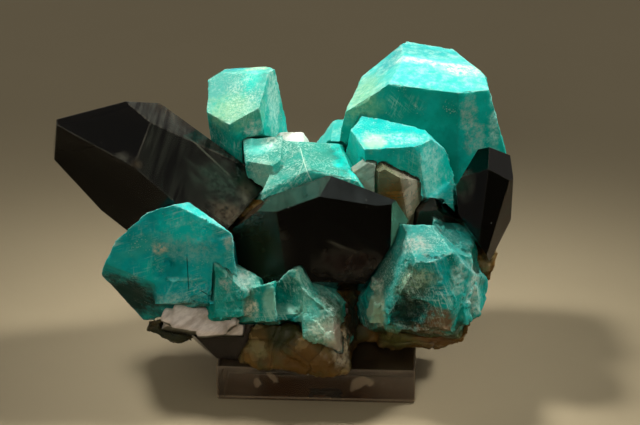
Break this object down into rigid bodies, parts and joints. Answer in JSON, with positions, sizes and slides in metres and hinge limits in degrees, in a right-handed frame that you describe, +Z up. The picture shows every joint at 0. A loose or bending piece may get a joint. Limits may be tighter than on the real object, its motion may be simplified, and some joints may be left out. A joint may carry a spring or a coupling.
{
  "type": "amazonite and smoky quartz specimen",
  "caption": "Cluster of blocky teal amazonite and dark smoky quartz crystals grown on feldspar rock, resting on a clear square display block.",
  "frame": {"origin": "middle of the display block's underside", "axes": "+X to the right and +Y away as seen from the front, +Z up"},
  "size_m": [0.1883, 0.1129, 0.1212],
  "materials": {
    "amazonite": "semi-matte crystal faces with fine white streaks",
    "smoky_quartz": "glossy, near-black, see-through where thin",
    "brown_quartz": "glossy, smoky brown, see-through",
    "albite": "satin, pinkish white",
    "matrix_rock": "rough, ochre-stained feldspar and quartz",
    "clear_acrylic": "clear, polished"
  },
  "bodies": {
    "root": {"amazonite_front_steps": "amazonite", "amazonite_front_left": "amazonite", "amazonite_front_right": "amazonite", "amazonite_right_block": "amazonite", "amazonite_centre_block": "amazonite", "amazonite_left_tower": "amazonite", "amazonite_crown": "amazonite", "smoky_quartz_small": "smoky_quartz", "smoky_quartz_centre": "smoky_quartz", "smoky_quartz_right": "smoky_quartz", "smoky_quartz_left": "smoky_quartz", "smoky_quartz_under": "smoky_quartz", "smoky_quartz_brown": "brown_quartz", "albite_chip": "albite", "albite_blade": "albite", "albite_plates": "albite", "albite_matrix": "matrix_rock", "acrylic_base": "clear_acrylic"}
  },
  "joints": []
}
